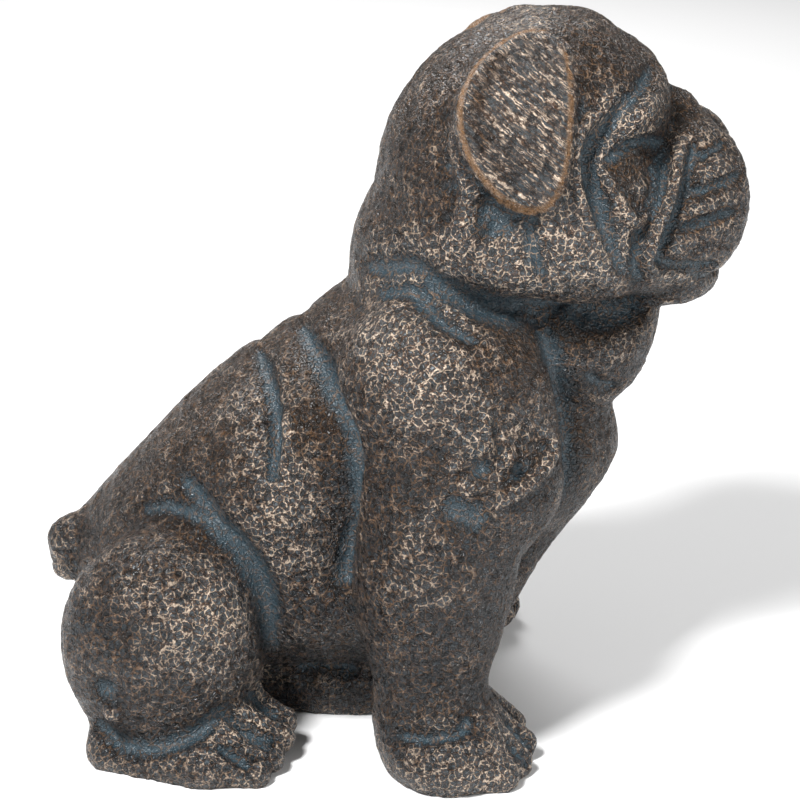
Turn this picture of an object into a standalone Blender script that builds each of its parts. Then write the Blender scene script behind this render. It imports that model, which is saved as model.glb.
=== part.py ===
"""Sitting bulldog garden figure, moulded in one piece of plastic, in metres with +Z up.

The dog faces +X and its left side is +Y. The undersides of the paws and of the belly lie on z = 0.
Shares of the figure are written in design millimetres, for a figure 400 mm tall, and scale with HEIGHT.
"""

import math
from collections import namedtuple

import bmesh
import bpy
import numpy as np
from mathutils import Euler, Matrix

HEIGHT = 0.400
DESIGN_HEIGHT = 400.0
MM = HEIGHT / DESIGN_HEIGHT

VOXEL = 4.0
BEAD_SPACING = 0.5
LEAF_BEAD_SPACING = 1.3
SETTLE_STEPS = (4.0, 4.0, 4.0, 1.0)
SLOPE_STEP = 0.4
LEAST_SLOPE = 0.5
SKIN_TRIANGLES = 9000
FLOOR_TRIM = 8.0
LOOK_DOWN = math.radians(20)

EAR_THICKNESS = 9.0
EAR_RIM = 1.5
EAR_DEPTH = 24.0
FORE_TOE_RADIUS = 11.5
FORE_TOE_TIP = 9.5
HIND_TOE_RADIUS = 9.0
HIND_TOE_TIP = 8.0
TAIL_RADIUS = 13.0

Mass = namedtuple("Mass", "centre radii turn pair", defaults=((0, 0, 0), False))
Limb = namedtuple("Limb", "start end start_radius end_radius pair", defaults=(True,))
Leaf = namedtuple(
    "Leaf", "middle half_width half_length lean curl shell_centre shell_radii thickness rim depth pair"
)
Fold = namedtuple("Fold", "height width path view fade", defaults=("side", (True, True)))

# Each mass is an ellipsoid: centre, radii and turns in degrees about X, Y and Z; a pair has a copy at -Y.
TRUNK = [
    Mass((-116, 0, 80), (68, 70, 66)),
    Mass((-65, 0, 136), (114, 82, 69), (0, -44, 0)),
    Mass((10, 0, 178), (72, 88, 78)),
    Mass((58, 0, 160), (53, 76, 52)),
    Mass((-38, 0, 88), (84, 80, 58)),
    Mass((-38, 0, 16), (72, 40, 40)),
    Limb((71, 0, 130), (1, 0, -4), 29, 30, False),
]
NECK = [
    Mass((28, 0, 262), (55, 74, 60)),
    Mass((84, 0, 226), (47, 62, 32)),
    Mass((92, 0, 206), (38, 44, 22)),
    Mass((82, 0, 157), (40, 48, 32)),
    Mass((112, 0, 232), (26, 36, 18)),
]
SHOULDER = [
    Mass((24, 60, 203), (60, 50, 60), (0, 0, 0), True),
    Mass((32, 74, 158), (54, 42, 40), (0, 0, 0), True),
]
FORELEG = [
    Mass((19, 84, 112), (40, 33, 64), (0, 0, 0), True),
    Limb((17, 86, 110), (15, 90, 30), 33, 27),
    Mass((26, 96, 12), (34, 40, 26), (0, 0, 0), True),
]
HAUNCH = [
    Mass((-130, 74, 64), (56, 42, 64), (0, 0, 0), True),
]
HIND_PAW = [
    Limb((-157, 91, 7), (-108, 104, 7), 15.5, 20),
]
HEAD = [
    Mass((64, 0, 331), (75, 75, 59), (0, -28, 0)),
    Mass((40, 0, 300), (47, 71, 55)),
    Mass((44, 0, 358), (30, 36, 22), (0, -30, 0)),
    Mass((110, 32, 351), (27, 27, 24), (0, 0, 0), True),
    Mass((97, 0, 379), (12, 30, 16)),
    Mass((76, 0, 375), (13, 30, 18.5)),
    Mass((119, 0, 362), (20, 40, 15)),
    Mass((80, 50, 302), (50, 35, 44), (0, 0, 0), True),
    Mass((48, 42, 280), (46, 40, 34), (0, 0, 0), True),
    Mass((96, 40, 282), (44, 38, 32), (0, 0, 0), True),
]
MUZZLE = [
    Mass((150, 24, 300), (30, 28, 40), (12, 0, 0), True),
    Mass((159, 22, 303), (26, 26, 38), (12, 0, 0), True),
    Mass((144, 0, 326), (26, 26, 12)),
    Mass((148, 0, 346), (11, 14, 10)),
    Mass((147, 0, 257), (28, 38, 17)),
    Mass((128, 32, 290), (32, 34, 38), (0, 0, 0), True),
]
EAR = [
    Leaf((58, 312), 30, 50, -3, 12, (60, 0, 314), (110, 90, 82), EAR_THICKNESS, EAR_RIM, EAR_DEPTH, True),
]
TAIL = [
    Limb((-168, 0, 105), (-182, 0, 99), TAIL_RADIUS, 0.77 * TAIL_RADIUS, False),
    Limb((-192, 0, 94), (-192, 0, 78), 0.81 * TAIL_RADIUS, 0.69 * TAIL_RADIUS, False),
]
PAW_TOES = [
    ((36, 116, 14), (55, 119, 5)),
    ((42, 103, 17), (63, 106, 7)),
    ((45, 88, 21), (66, 89, 9)),
    ((42, 73, 24), (61, 73, 12)),
]
TOES = [Limb(start, end, FORE_TOE_RADIUS, FORE_TOE_TIP) for start, end in PAW_TOES]
HIND_PAW_TOES = [
    ((-104, 114, 10), (-78, 116, 4)),
    ((-100, 103, 21), (-71, 104, 8)),
    ((-94, 91, 28), (-66, 91, 13)),
    ((-90, 78, 32), (-65, 78, 17)),
]
HIND_TOES = [Limb(start, end, HIND_TOE_RADIUS, HIND_TOE_TIP) for start, end in HIND_PAW_TOES]

# Groups that blend softly inside themselves; the number is the width of the blend in millimetres.
GROUPS = [
    (TRUNK, 10.0),
    (NECK, 9.0),
    (SHOULDER + FORELEG, 8.0),
    (HAUNCH + HIND_PAW, 5.0),
    (HEAD, 7.0),
    (MUZZLE, 5.0),
    (EAR, 3.0),
    (TAIL, 4.0),
    (TOES, 1.5),
    (HIND_TOES, 1.5),
]
GROUP_BLEND = 4.0
REACH = 32.0

# Folds are ridges (height above zero) or grooves (below zero) along a curve on the skin.
FOLDS = [
    # Brow and eye
    Fold(
        -12.7,
        5.5,
        [(131, 376), (123, 366), (108, 353), (99, 342),
         (97, 333), (100, 318), (107, 297), (118, 272)],
    ),
    Fold(4, 4, [(111, 366), (102, 356), (93, 350), (90, 341), (93, 324), (99, 306), (109, 283)]),
    Fold(6.5, 8, [(131, 367), (122, 359), (113, 348)]),
    Fold(-7.67, 3.5, [(105, 333), (114, 338), (124, 340), (139, 337)]),
    Fold(4, 3, [(104, 331), (109, 321), (115, 311), (123, 302), (130, 306), (135, 316), (137, 328)]),
    Fold(-4.5, 13, [(123, 323)]),
    Fold(3.6, 9, [(124, 321)]),
    # Nose fold and muzzle
    Fold(-8.45, 4, [(139, 333), (137, 317), (130, 302), (124, 290), (124, 266)]),
    Fold(8.12, 4.2, [(150, 337), (146, 328), (141, 314), (135, 303), (129, 292), (128, 282), (134, 272)]),
    Fold(-6.76, 3.5, [(155, 337), (151, 330), (146, 312), (140, 294), (134, 283)]),
    Fold(-5.07, 3, [(155, 329), (163, 333), (173, 336)]),
    Fold(-5.85, 3, [(151, 312), (164, 316), (181, 319)]),
    Fold(-5.85, 3, [(145, 295), (161, 298), (178, 302)]),
    Fold(-6.76, 3, [(133, 282), (143, 275), (158, 271), (170, 270)], "side", (False, True)),
    # Jaw and throat
    Fold(
        -16.9,
        7,
        [(-20, 268), (2, 275), (19, 267), (36, 261),
         (62, 253), (92, 247), (121, 243), (136, 243)],
    ),
    Fold(-8.45, 4.5, [(-13, 259), (2, 265), (12, 261), (24, 254), (42, 244)]),
    Fold(4.88, 5, [(-8, 267), (6, 271), (21, 262), (39, 252)]),
    # Ear and cheek
    Fold(-8.45, 3.5, [(68, 315), (66, 301), (68, 290), (74, 274)]),
    Fold(4.88, 5, [(26, 349), (32, 332), (36, 320), (32, 305), (28, 291)]),
    Fold(-8.45, 10, [(44, 321), (50, 308), (58, 297)]),
    Fold(-5.07, 3.5, [(27, 359), (32, 374), (43, 386), (58, 394)]),
    # Shoulder
    Fold(-8.45, 8, [(78, 244), (84, 224), (92, 190), (94, 168), (90, 141)]),
    Fold(-6.76, 3.5, [(100, 214), (109, 203), (119, 199)]),
    Fold(5.62, 3, [(43, 213), (44, 200), (44, 187)]),
    Fold(6.5, 4, [(74, 199), (79, 182), (70, 173), (62, 169), (51, 163)]),
    Fold(4.88, 4, [(36, 173)]),
    Fold(4.88, 3.5, [(28, 185)]),
    Fold(-6.76, 5, [(42, 182)]),
    Fold(-5.07, 4, [(58, 176), (66, 177)]),
    Fold(4.88, 3.5, [(52, 184), (56, 185), (58, 191)]),
    Fold(-6.76, 8, [(21, 166), (34, 158), (48, 154)]),
    # Flank
    Fold(-10.5, 4.5, [(-79, 213), (-73, 206), (-67, 189), (-67, 172), (-70, 160)]),
    Fold(4.88, 4, [(-63, 195), (-61, 181), (-65, 164)]),
    Fold(-13, 6, [(-55, 229), (-45, 220), (-36, 204), (-28, 188), (-25, 165)]),
    Fold(-7, 5, [(-28, 188), (-26, 159), (-29, 127), (-31, 107)], "side", (True, False)),
    Fold(-6.5, 5, [(-61, 30), (-45, 32), (-31, 30), (-22, 27)]),
    # Haunch
    Fold(-14.8, 6, [(-121, 155), (-108, 145), (-100, 135), (-87, 124), (-77, 108), (-71, 86), (-69, 56)]),
    Fold(-6.76, 4, [(-143, 133), (-127, 139), (-113, 138), (-102, 135)]),
    Fold(-6.76, 10, [(-150, 89), (-140, 86)]),
    Fold(-8.45, 6, [(-159, 52)]),
    Fold(6.5, 4, [(-155, 38)]),
    Fold(-8.45, 5, [(-168, 28), (-156, 19), (-141, 17), (-124, 22), (-105, 31), (-91, 40)]),
    # Hind toes
    Fold(-6.5, 3, [(-83, 42), (-76, 32), (-66, 24)]),
    Fold(-6.5, 3, [(-93, 33), (-82, 23), (-68, 15)]),
    Fold(-5.2, 3, [(-99, 23), (-88, 16), (-79, 11)]),
    # Wrist
    Fold(-6.76, 4, [(-3, 29), (21, 33), (34, 35), (38, 40)]),
    # Front of the face and chest, as (y, z) seen from the front
    Fold(-5, 3, [(0, 330), (0, 310), (0, 285), (0, 268)], "front"),
    Fold(-4, 3, [(0, 268), (18, 262), (38, 262), (50, 268)], "front"),
    Fold(-4, 3.5, [(7, 340), (10, 334)], "front"),
    Fold(-4, 5, [(0, 376), (1, 362)], "front"),
    # Forepaw toes, as (y, z) seen from the front
    Fold(-6, 3, [(113, 4), (112, 12), (110, 24)], "front"),
    Fold(-6, 3, [(98, 4), (97, 14), (96, 29)], "front"),
    Fold(-6, 3, [(81, 5), (81, 16), (82, 32)], "front"),
]
BEAD_STEP = 0.9
SIDE_START = 150.0
FRONT_START = 230.0
PIN_PULL = 0.8
PIN_LEAST_STEP = 3.75
PIN_BACK_STEP = 1.0
PIN_STEP = 20.0
FADE_SHARE = 0.25
END_SHARE = 0.02
SINK_SHARE = 0.85
FOLD_REACH = 3.0
CREASE_POWER = 0.65

CUTTER_SPAN = 600.0
CUTTER_DEPTH = 60.0
BRONZE = (0.06, 0.05, 0.045)


def turn_matrix(turn):
    """Rotation matrix of turns in degrees about X, Y and Z."""
    return np.array(Euler([math.radians(a) for a in turn]).to_matrix())


def ellipsoid_distance(points, centre, radii, turn=(0, 0, 0)):
    """Nearly the signed distance from points to an ellipsoid."""
    radii = np.array(radii, float)
    local = (points - np.array(centre, float)) @ turn_matrix(turn)
    near = np.linalg.norm(local / radii, axis=1)
    return near * (near - 1) / np.maximum(np.linalg.norm(local / radii**2, axis=1), 1e-9)


def limb_distance(points, limb):
    """Signed distance from points to a round-ended cone."""
    start, end = np.array(limb.start, float), np.array(limb.end, float)
    axis = end - start
    share = np.clip((points - start) @ axis / (axis @ axis), 0, 1)
    radius = limb.start_radius + (limb.end_radius - limb.start_radius) * share
    return np.linalg.norm(points - start - share[:, None] * axis, axis=1) - radius


def leaf_outline(leaf, points):
    """Signed distance from the leaf's oval edge, seen from the side and 20 degrees above."""
    along = points[:, 2] * math.cos(LOOK_DOWN) - points[:, 1] * math.sin(LOOK_DOWN)
    across = points[:, 0] - leaf.middle[0]
    along = along - leaf.middle[1]
    turn = math.radians(leaf.lean)
    across, along = (
        across * math.cos(turn) + along * math.sin(turn),
        along * math.cos(turn) - across * math.sin(turn),
    )
    across = across - leaf.curl * (along / leaf.half_length) ** 2
    flat = np.stack([across, along, np.zeros_like(along)], axis=1)
    return ellipsoid_distance(flat, (0, 0, 0), (leaf.half_width, leaf.half_length, leaf.half_length))


def leaf_distance(points, leaf):
    """A leaf with a swollen rim that lies on an ellipsoid, has a round edge and is filled in behind."""
    half = leaf.thickness / 2
    inset = leaf_outline(leaf, points) + half
    shell = ellipsoid_distance(points, leaf.shell_centre, leaf.shell_radii)
    out = np.maximum(shell - leaf.rim * np.exp(-((inset / half) ** 2)), -shell - leaf.depth)
    flap = np.minimum(np.maximum(inset, out), 0) + np.hypot(np.maximum(inset, 0), np.maximum(out, 0)) - half
    return np.where(points[:, 1] < 0, REACH, flap)


def distance_to(form, points):
    """Signed distance from points to one form, negative inside."""
    if isinstance(form, Limb):
        return limb_distance(points, form)
    if isinstance(form, Leaf):
        return leaf_distance(points, form)
    return ellipsoid_distance(points, form.centre, form.radii, form.turn)


def form_box(form):
    """Lower and upper corner of a box around a form."""
    if isinstance(form, Limb):
        ends = np.array([form.start, form.end], float)
        radius = max(form.start_radius, form.end_radius)
        return ends.min(axis=0) - radius, ends.max(axis=0) + radius
    if isinstance(form, Leaf):
        x, z, reach = form.middle[0], form.shell_centre[2], form.half_length
        side = form.shell_radii[1] + form.thickness
        return np.array((x - reach, 0, z - reach)), np.array((x + reach, side, z + side))
    reach = max(form.radii) if any(form.turn) else np.array(form.radii, float)
    return np.array(form.centre) - reach, np.array(form.centre) + reach


def inside_box(points, low, high):
    """Which points lie in a box."""
    x, y, z = points.T
    return (x > low[0]) & (x < high[0]) & (y > low[1]) & (y < high[1]) & (z > low[2]) & (z < high[2])


def group_distance(forms, width, points):
    """Signed distance to a group, a union with rounded inner corners: -w ln(sum of exp(-d / w))."""
    total = np.full(len(points), math.exp(-REACH / width))
    for form in forms:
        low, high = form_box(form)
        for side in (1, -1) if form.pair else (1,):
            turned = points * (1, side, 1)
            near = np.flatnonzero(inside_box(turned, low - REACH, high + REACH))
            total[near] += np.exp(distance_to(form, turned[near]) / -width)
    return -width * np.log(total)


def skin_distance(points):
    """Signed distance from points to the smooth figure, without folds."""
    total = np.zeros(len(points))
    for forms, width in GROUPS:
        total += np.exp(group_distance(forms, width, points) / -GROUP_BLEND)
    return -GROUP_BLEND * np.log(total)


def gradient(points, field, value):
    """Slope of the field at points where its value is known."""
    slope = np.empty_like(points)
    for axis in range(3):
        shifted = points.copy()
        shifted[:, axis] += SLOPE_STEP
        slope[:, axis] = (field(shifted) - value) / SLOPE_STEP
    return slope


def smooth_curve(path, count):
    """Points along a Catmull-Rom curve through the path."""
    path = np.array(path, float)
    if len(path) == 1:
        return path
    ends = np.vstack([2 * path[0] - path[1], path, 2 * path[-1] - path[-2]])
    spans = np.linspace(0, len(path) - 1, count)
    k = np.minimum(spans.astype(int), len(path) - 2)
    t = (spans - k)[:, None]
    a, b, c, d = ends[k], ends[k + 1], ends[k + 2], ends[k + 3]
    return 0.5 * (2 * b + (c - a) * t + (2 * a - 5 * b + 4 * c - d) * t**2 + (3 * b - a - 3 * c + d) * t**3)


def fold_curve(fold):
    """Points along a fold, off the skin: (x, start, z) in a side view and (start, y, z) in a front view."""
    path = np.array(fold.path, float)
    length = np.linalg.norm(np.diff(path, axis=0), axis=1).sum()
    flat = smooth_curve(path, 1 + int(length / (BEAD_STEP * fold.width)))
    if fold.view == "side":
        return np.insert(flat, 1, SIDE_START, axis=1)
    return np.insert(flat, 0, FRONT_START, axis=1)


def fading(fold, count):
    """Share of the full height at count points: it falls off over the first and last stretch."""
    share = np.linspace(0, 1, count)
    height = np.ones(count)
    for fades, way in zip(fold.fade, (share, 1 - share)):
        if fades and count > 1:
            height *= np.sqrt(np.clip(way / FADE_SHARE, END_SHARE, 1))
    return height


def fold_rows(folds):
    """For each fold: itself, points along it on the skin, the outward direction and share of height there."""
    curves = [fold_curve(fold) for fold in folds]
    counts = [len(curve) for curve in curves]
    axis = np.repeat([1 if fold.view == "side" else 0 for fold in folds], counts)
    points = np.vstack(curves)
    row = np.arange(len(points))
    for _ in range(int(SIDE_START / PIN_LEAST_STEP)):
        points[row, axis] -= np.clip(PIN_PULL * skin_distance(points), -PIN_BACK_STEP, PIN_STEP)
    normals = gradient(points, skin_distance, skin_distance(points))
    normals /= np.maximum(np.linalg.norm(normals, axis=1), LEAST_SLOPE)[:, None]
    ends = np.cumsum(counts)[:-1]
    parts = zip(folds, np.split(points, ends), np.split(normals, ends), counts)
    return [(fold, centres, outward, fading(fold, count)) for fold, centres, outward, count in parts]


def nearest_on_fold(points, centres, normals, heights):
    """Squared distance along the skin to the curve through the centres, and the share of height there."""
    if len(centres) == 1:
        centres, normals, heights = (np.repeat(row, 2, axis=0) for row in (centres, normals, heights))
    run, outward = np.diff(centres, axis=0), (normals[:-1] + normals[1:]) / 2
    start = centres[:-1]
    size = np.maximum((run**2).sum(axis=1), 1e-6)
    ahead = points @ run.T - (start * run).sum(axis=1)
    share = np.clip(ahead / size, 0, 1)
    gap = (points**2).sum(axis=1)[:, None] + (start**2).sum(axis=1) - 2 * points @ start.T
    gap += share * (share * size - 2 * ahead)
    rise = points @ outward.T - (start * outward).sum(axis=1) - share * (run * outward).sum(axis=1)
    gap -= SINK_SHARE * rise**2
    piece = gap.argmin(axis=1)
    row = np.arange(len(points))
    height = heights[piece] + share[row, piece] * (heights[piece + 1] - heights[piece])
    return np.maximum(gap[row, piece], 0), height


def fold_relief(rows, points):
    """How far the folds stand out at points: ridges round, grooves with a crease."""
    relief = np.zeros(len(points))
    side = points.copy()
    side[:, 1] = np.abs(side[:, 1])
    for fold, centres, normals, heights in rows:
        reach = FOLD_REACH * fold.width
        near = np.flatnonzero(inside_box(side, centres.min(axis=0) - reach, centres.max(axis=0) + reach))
        middle = centres.mean(axis=0)
        gap, height = nearest_on_fold(side[near] - middle, centres - middle, normals, heights)
        power = CREASE_POWER if fold.height < 0 else 1
        relief[near] += fold.height * height * np.exp(-((gap / fold.width**2) ** power))
    return relief


def add_sphere(bm, centre, radii, turn=(0, 0, 0), rings=3):
    """Adds an ellipsoid to the mesh."""
    matrix = (
        Matrix.Translation(centre)
        @ Euler([math.radians(a) for a in turn]).to_matrix().to_4x4()
        @ Matrix.Diagonal((*radii, 1))
    )
    bmesh.ops.create_icosphere(bm, subdivisions=rings, radius=1.0, matrix=matrix)


def add_form(bm, form, side):
    """Adds one form to the mesh, on side +1 or -1."""
    flip = np.array((1, side, 1))
    if isinstance(form, Limb):
        start, end = np.array(form.start) * flip, np.array(form.end) * flip
        step = BEAD_SPACING * min(form.start_radius, form.end_radius)
        beads = 2 + int(np.linalg.norm(end - start) / step)
        for share in np.linspace(0, 1, beads):
            radius = form.start_radius + (form.end_radius - form.start_radius) * share
            add_sphere(bm, start + (end - start) * share, (radius,) * 3, rings=2)
        return
    if isinstance(form, Leaf):
        add_leaf(bm, form, side)
        return
    turn = (form.turn[0] * side, form.turn[1], form.turn[2] * side)
    add_sphere(bm, np.array(form.centre) * flip, form.radii, turn)


def add_leaf(bm, leaf, side):
    """Beads over the leaf's oval, on the ellipsoid that it drapes over."""
    radius = leaf.thickness / 2
    columns = np.arange(-leaf.half_length, leaf.half_length, LEAF_BEAD_SPACING * radius)
    across, along = np.meshgrid(columns, columns)
    height = (leaf.middle[1] + along.ravel()) / math.cos(LOOK_DOWN)
    points = np.stack([leaf.middle[0] + across.ravel(), np.zeros(across.size), height], axis=1)
    for _ in range(int(leaf.shell_radii[1] / radius)):
        outward = ellipsoid_distance(points, leaf.shell_centre, leaf.shell_radii)
        points[:, 1] = np.clip(points[:, 1] - np.clip(outward, -leaf.thickness, leaf.thickness), 1, None)
        points[:, 2] = height + points[:, 1] * math.tan(LOOK_DOWN)
    inside = leaf_distance(points, leaf) < -radius / 3
    for point in points[inside]:
        add_sphere(bm, point * (1, side, 1), (radius,) * 3, rings=1)


def evaluated(obj):
    """A new mesh with the object's modifiers applied."""
    graph = bpy.context.evaluated_depsgraph_get()
    return bpy.data.meshes.new_from_object(obj.evaluated_get(graph))


def rough_union(voxel):
    """All forms melted into one closed skin by a voxel remesh."""
    bm = bmesh.new()
    for forms, _ in GROUPS:
        for form in forms:
            for side in (1, -1) if form.pair else (1,):
                add_form(bm, form, side)
    mesh = bpy.data.meshes.new("figure")
    bm.to_mesh(mesh)
    bm.free()
    obj = bpy.data.objects.new("figure", mesh)
    bpy.context.scene.collection.objects.link(obj)
    remesh = obj.modifiers.new("melt", "REMESH")
    remesh.mode = "VOXEL"
    remesh.voxel_size = voxel
    obj.data = evaluated(obj)
    obj.modifiers.clear()
    return obj


def read_points(mesh):
    """The mesh's points, one row each."""
    points = np.empty(len(mesh.vertices) * 3, np.float32)
    mesh.vertices.foreach_get("co", points)
    return points.reshape(-1, 3).astype(float)


def settle(mesh, folds):
    """Slides the skin's points over the folded figure: a round averages neighbours and steps back."""
    rows = fold_rows(folds)
    edges = np.empty(len(mesh.edges) * 2, np.int32)
    mesh.edges.foreach_get("vertices", edges)
    a, b = edges.reshape(-1, 2).T
    count = np.bincount(np.concatenate([a, b]), minlength=len(mesh.vertices))[:, None]
    points = read_points(mesh)
    for limit in SETTLE_STEPS:
        total = np.zeros_like(points)
        for axis in range(3):
            total[:, axis] += np.bincount(a, points[b, axis], len(points))
            total[:, axis] += np.bincount(b, points[a, axis], len(points))
        if limit > VOXEL / 2:
            points = (points + total / count) / 2
        skin = skin_distance(points)
        slope = gradient(points, skin_distance, skin)
        value = np.maximum(skin - fold_relief(rows, points), -points[:, 2] - FLOOR_TRIM)
        size = np.maximum((slope**2).sum(axis=1), LEAST_SLOPE**2)[:, None]
        points -= np.clip(value[:, None] * slope / size, -limit, limit)
    mesh.vertices.foreach_set("co", points.astype(np.float32).ravel())
    mesh.update()


def make_collection(name, shown=True):
    """The collection of that name, under the scene's."""
    found = bpy.data.collections.get(name) or bpy.data.collections.new(name)
    if found.name not in bpy.context.scene.collection.children:
        bpy.context.scene.collection.children.link(found)
    found.hide_render = not shown
    return found


def place_in(obj, collection):
    """Moves an object out of every other collection."""
    for old in list(obj.users_collection):
        old.objects.unlink(obj)
    collection.objects.link(obj)


def plastic(name, colour, roughness):
    """A plain glossy material."""
    material = bpy.data.materials.new(name)
    material.use_nodes = True
    shader = material.node_tree.nodes["Principled BSDF"]
    shader.inputs["Base Color"].default_value = (*colour, 1)
    shader.inputs["Roughness"].default_value = roughness
    return material


def centre_lengthwise(mesh):
    """Moves the mesh so that x = 0 is midway between its ends."""
    along = read_points(mesh)[:, 0]
    mesh.transform(Matrix.Translation((-(along.min() + along.max()) / 2, 0, 0)))


def thinned(obj, triangles):
    """Fewer triangles, most of them kept where the skin bends."""
    faces = sum(len(face.vertices) - 2 for face in obj.data.polygons)
    modifier = obj.modifiers.new("fewer faces", "DECIMATE")
    modifier.ratio = triangles / faces
    modifier.use_collapse_triangulate = True
    obj.data = evaluated(obj)
    obj.modifiers.clear()


def ground_cutter(collection):
    """A box under the ground plane, larger than the figure."""
    bpy.ops.mesh.primitive_cube_add(size=1, location=(0, 0, -CUTTER_DEPTH * MM / 2))
    cutter = bpy.context.object
    cutter.name = "ground cutter"
    cutter.scale = (CUTTER_SPAN * MM, CUTTER_SPAN * MM, CUTTER_DEPTH * MM)
    cutter.display_type = "WIRE"
    place_in(cutter, collection)
    return cutter


def cut_flat(obj, cutter):
    """Takes away what lies inside the cutter."""
    boolean = obj.modifiers.new("flat underside", "BOOLEAN")
    boolean.object = cutter
    boolean.operation = "DIFFERENCE"
    boolean.solver = "EXACT"
    bpy.context.view_layer.update()
    obj.data = evaluated(obj)
    obj.modifiers.clear()


def main():
    for obj in list(bpy.data.objects):
        bpy.data.objects.remove(obj)
    figure = rough_union(VOXEL)
    settle(figure.data, FOLDS)
    thinned(figure, SKIN_TRIANGLES)
    centre_lengthwise(figure.data)
    figure.data.transform(Matrix.Scale(MM, 4))
    figure.name = "dog_body"
    place_in(figure, make_collection("garden dog"))
    cutter = ground_cutter(make_collection("cutters", shown=False))
    cut_flat(figure, cutter)
    figure.data.materials.clear()
    figure.data.materials.append(plastic("moulded plastic", BRONZE, 0.45))


if __name__ == "__main__":
    main()
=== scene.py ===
"""Sitting bulldog garden figure: a moulded plastic body with a rubbed bronze paint, on a pale studio floor.

The figure is one piece. Its forms are written in design millimetres for a figure 400 mm tall, with +X
forwards, +Y to the dog's left and +Z up, and its skin is where the sum of those forms' distances is zero.
"""

import logging
import math
from collections.abc import Callable
from concurrent.futures import ThreadPoolExecutor
from dataclasses import dataclass, field
from enum import Enum

import bpy
import numpy as np
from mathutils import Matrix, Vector


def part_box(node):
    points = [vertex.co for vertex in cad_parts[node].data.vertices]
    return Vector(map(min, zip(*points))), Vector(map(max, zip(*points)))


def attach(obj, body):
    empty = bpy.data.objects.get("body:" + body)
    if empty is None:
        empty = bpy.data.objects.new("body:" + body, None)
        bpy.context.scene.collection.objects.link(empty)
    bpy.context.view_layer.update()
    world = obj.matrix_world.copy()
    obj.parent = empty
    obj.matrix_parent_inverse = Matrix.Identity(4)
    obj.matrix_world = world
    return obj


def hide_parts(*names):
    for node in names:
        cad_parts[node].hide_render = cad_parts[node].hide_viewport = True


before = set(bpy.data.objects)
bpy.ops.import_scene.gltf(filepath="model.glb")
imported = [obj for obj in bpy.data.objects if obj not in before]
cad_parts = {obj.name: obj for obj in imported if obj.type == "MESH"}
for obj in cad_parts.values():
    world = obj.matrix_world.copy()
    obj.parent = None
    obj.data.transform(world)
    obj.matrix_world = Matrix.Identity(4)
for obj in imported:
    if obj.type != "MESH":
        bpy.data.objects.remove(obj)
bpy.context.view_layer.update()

NODE = "dog_body"
LOOK_DOWN = math.radians(20)
REACH = 32.0
GROUP_BLEND = 4.0
GROOVE_DEPTH = 6.0
LATTICE_PRIMES = np.array((374761393, 668265263, 1274126177))
LATTICE_MASK = 0xFFFFFFFF
LATTICE_TOP = 0xFFFF
LIFT_SHARE = 0.85
FADE_SHARE = 0.25

log = logging.getLogger("garden dog")

Point = tuple[float, float, float]
Shell = tuple[np.ndarray, list]
Field = Callable[[np.ndarray], np.ndarray]
Pair = tuple[np.ndarray, np.ndarray]
Spot = tuple[float, float]


class Side(Enum):
    """The view that a curve on the skin is drawn in, with the axis that it is dropped along."""

    FLANK = 1
    FRONT = 0


class Sense(Enum):
    """Whether a fold stands out of the skin or sinks into it."""

    RIDGE = 1
    GROOVE = -1


GROOVE, RIDGE = Sense.GROOVE, Sense.RIDGE


def turn_matrix(turn: Point) -> np.ndarray:
    """Rotation matrix of turns in degrees about X, then Y, then Z."""
    (sx, sy, sz), (cx, cy, cz) = np.sin(np.radians(turn)), np.cos(np.radians(turn))
    about_x = np.array([[1, 0, 0], [0, cx, -sx], [0, sx, cx]])
    about_y = np.array([[cy, 0, sy], [0, 1, 0], [-sy, 0, cy]])
    about_z = np.array([[cz, -sz, 0], [sz, cz, 0], [0, 0, 1]])
    return about_z @ about_y @ about_x


def lean_by(x: np.ndarray, z: np.ndarray, degrees: float) -> Pair:
    """Both coordinates of flat points, with their axes turned by an angle."""
    turn = math.radians(degrees)
    return x * math.cos(turn) + z * math.sin(turn), z * math.cos(turn) - x * math.sin(turn)


def grid_faces(rows: int, columns: int) -> list:
    """Quads and end fans of a closed grid: a first point, rows of columns points each, and a last point.

    Args:
        rows: Number of rings.
        columns: Number of points on each ring.

    Returns:
        Lists of vertex numbers, with every face pointing outwards.
    """
    ring = np.arange(columns)
    after = np.roll(ring, -1)
    start = 1 + columns * np.arange(rows - 1)[:, None]
    quads = np.stack([start + ring, start + after, start + columns + after, start + columns + ring], axis=2)
    last = 1 + rows * columns
    top = np.stack([np.zeros(columns, int), 1 + after, 1 + ring], axis=1)
    bottom = np.stack([np.full(columns, last), last - columns + ring, last - columns + after], axis=1)
    return quads.reshape(-1, 4).tolist() + top.tolist() + bottom.tolist()


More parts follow.
